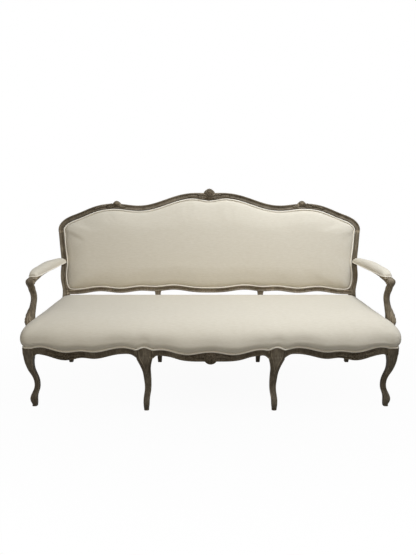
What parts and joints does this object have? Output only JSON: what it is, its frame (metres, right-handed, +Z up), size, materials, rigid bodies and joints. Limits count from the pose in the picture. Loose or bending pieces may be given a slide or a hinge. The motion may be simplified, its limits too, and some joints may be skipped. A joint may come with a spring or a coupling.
{
  "type": "settee",
  "caption": "Upholstered settee in a carved serpentine wood frame with cabriole legs, open padded arms, a domed stuffed seat and a crowned back.",
  "frame": {"origin": "centre of the settee's box on the floor", "axes": "+X along the settee to its right seen from the front, -Y the front, +Z up"},
  "size_m": [1.9, 0.7347, 1.0677],
  "materials": {
    "carved_wood": "worn grey-brown",
    "raw_wood": "unfinished",
    "linen": "oatmeal linen",
    "hessian": "coarse jute",
    "webbing": "woven jute"
  },
  "bodies": {
    "root": {"arm_left": "carved_wood", "arm_pad_left": "linen", "arm_pad_right": "linen", "arm_right": "carved_wood", "arm_support_left": "carved_wood", "arm_support_right": "carved_wood", "back_hessian": "hessian", "back_pad": "linen", "back_rail": "carved_wood", "back_stile_left": "raw_wood", "back_stile_right": "raw_wood", "back_webbing": "webbing", "corner_braces": "raw_wood", "crest_rail": "carved_wood", "front_leg_left": "carved_wood", "front_leg_mid_left": "carved_wood", "front_leg_mid_right": "carved_wood", "front_leg_right": "carved_wood", "front_rail_center": "carved_wood", "front_rail_left": "carved_wood", "front_rail_right": "carved_wood", "outside_back": "linen", "rear_leg_left": "carved_wood", "rear_leg_mid_left": "carved_wood", "rear_leg_mid_right": "carved_wood", "rear_leg_right": "carved_wood", "rear_rail_center": "raw_wood", "rear_rail_left": "raw_wood", "rear_rail_right": "raw_wood", "seat_hessian": "hessian", "seat_pad": "linen", "seat_stretcher_left": "raw_wood", "seat_stretcher_right": "raw_wood", "seat_webbing": "webbing", "side_rail_left": "carved_wood", "side_rail_right": "carved_wood"}
  },
  "joints": []
}
